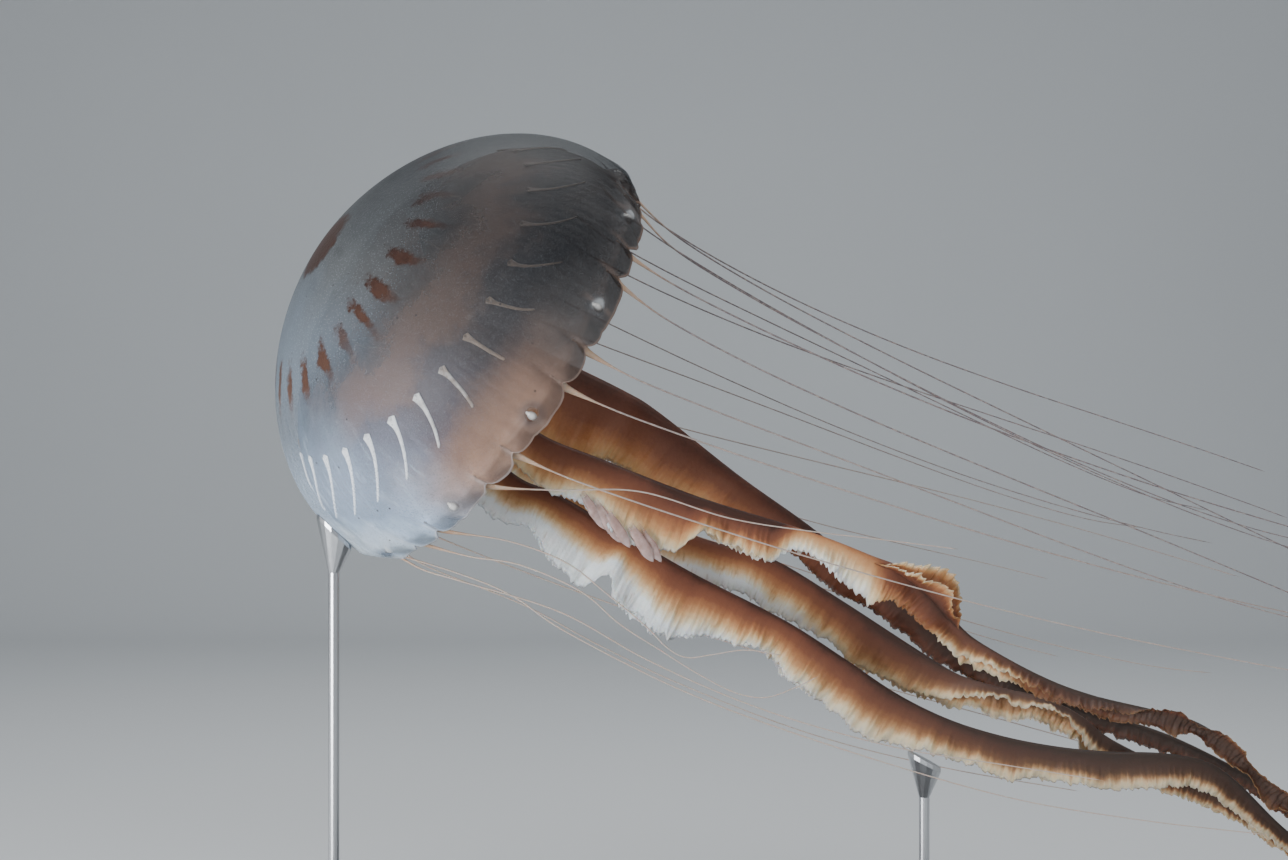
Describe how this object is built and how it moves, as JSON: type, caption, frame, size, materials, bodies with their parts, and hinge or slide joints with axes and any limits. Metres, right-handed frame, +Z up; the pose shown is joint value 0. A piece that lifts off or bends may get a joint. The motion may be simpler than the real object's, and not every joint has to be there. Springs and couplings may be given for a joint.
{
  "type": "sea nettle jellyfish model on a display stand",
  "caption": "Swimming sea nettle: a domed bell with scalloped lappets, a mouth stalk, folded frilly arms and thin trailing tentacles, held by a flat base and rods.",
  "frame": {"origin": "middle of the stand base's underside", "axes": "+Z up; +X the way the arms and tentacles stream, along the base's length; +Y to the back of the animal, away from a viewer who looks at it with the bell on the left"},
  "size_m": [0.8174, 0.3347, 0.5328],
  "materials": {
    "bell_jelly": "wet, translucent jelly",
    "lappet_jelly": "wet, thin, translucent jelly",
    "organ_white": "opaque white",
    "stalk_brown": "wet, satin",
    "arm_brown": "wet, finely pleated",
    "tentacle_tan": "wet, satin",
    "stand_base_paint": "satin paint",
    "stand_metal": "brushed"
  },
  "bodies": {
    "root": {"bell": "bell_jelly", "lappets_1": "lappet_jelly", "lappets_2": "lappet_jelly", "lappets_3": "lappet_jelly", "lappets_4": "lappet_jelly", "lappets_5": "lappet_jelly", "lappets_6": "lappet_jelly", "sense_organ_01": "organ_white", "sense_organ_02": "organ_white", "sense_organ_03": "organ_white", "sense_organ_04": "organ_white", "sense_organ_05": "organ_white", "sense_organ_06": "organ_white", "sense_organ_07": "organ_white", "sense_organ_08": "organ_white", "sense_organ_09": "organ_white", "sense_organ_10": "organ_white", "sense_organ_11": "organ_white", "sense_organ_12": "organ_white", "mouth_stalk": "stalk_brown", "arm_1_root": "arm_brown", "arm_1_middle": "arm_brown", "arm_1_tip": "arm_brown", "arm_2_root": "arm_brown", "arm_2_middle": "arm_brown", "arm_2_tip": "arm_brown", "arm_3_root": "arm_brown", "arm_3_middle": "arm_brown", "arm_3_tip": "arm_brown", "arm_4_root": "arm_brown", "arm_4_middle": "arm_brown", "arm_4_tip": "arm_brown", "tentacle_01": "tentacle_tan", "tentacle_02": "tentacle_tan", "tentacle_03": "tentacle_tan", "tentacle_04": "tentacle_tan", "tentacle_05": "tentacle_tan", "tentacle_06": "tentacle_tan", "tentacle_07": "tentacle_tan", "tentacle_08": "tentacle_tan", "tentacle_09": "tentacle_tan", "tentacle_10": "tentacle_tan", "tentacle_11": "tentacle_tan", "tentacle_12": "tentacle_tan", "tentacle_13": "tentacle_tan", "tentacle_14": "tentacle_tan", "tentacle_15": "tentacle_tan", "tentacle_16": "tentacle_tan", "tentacle_17": "tentacle_tan", "tentacle_18": "tentacle_tan", "tentacle_19": "tentacle_tan", "tentacle_20": "tentacle_tan", "tentacle_21": "tentacle_tan", "tentacle_22": "tentacle_tan", "tentacle_23": "tentacle_tan", "tentacle_24": "tentacle_tan", "stand_base": "stand_base_paint", "stand_rod_bell": "stand_metal", "stand_rod_arms": "stand_metal"}
  },
  "joints": []
}
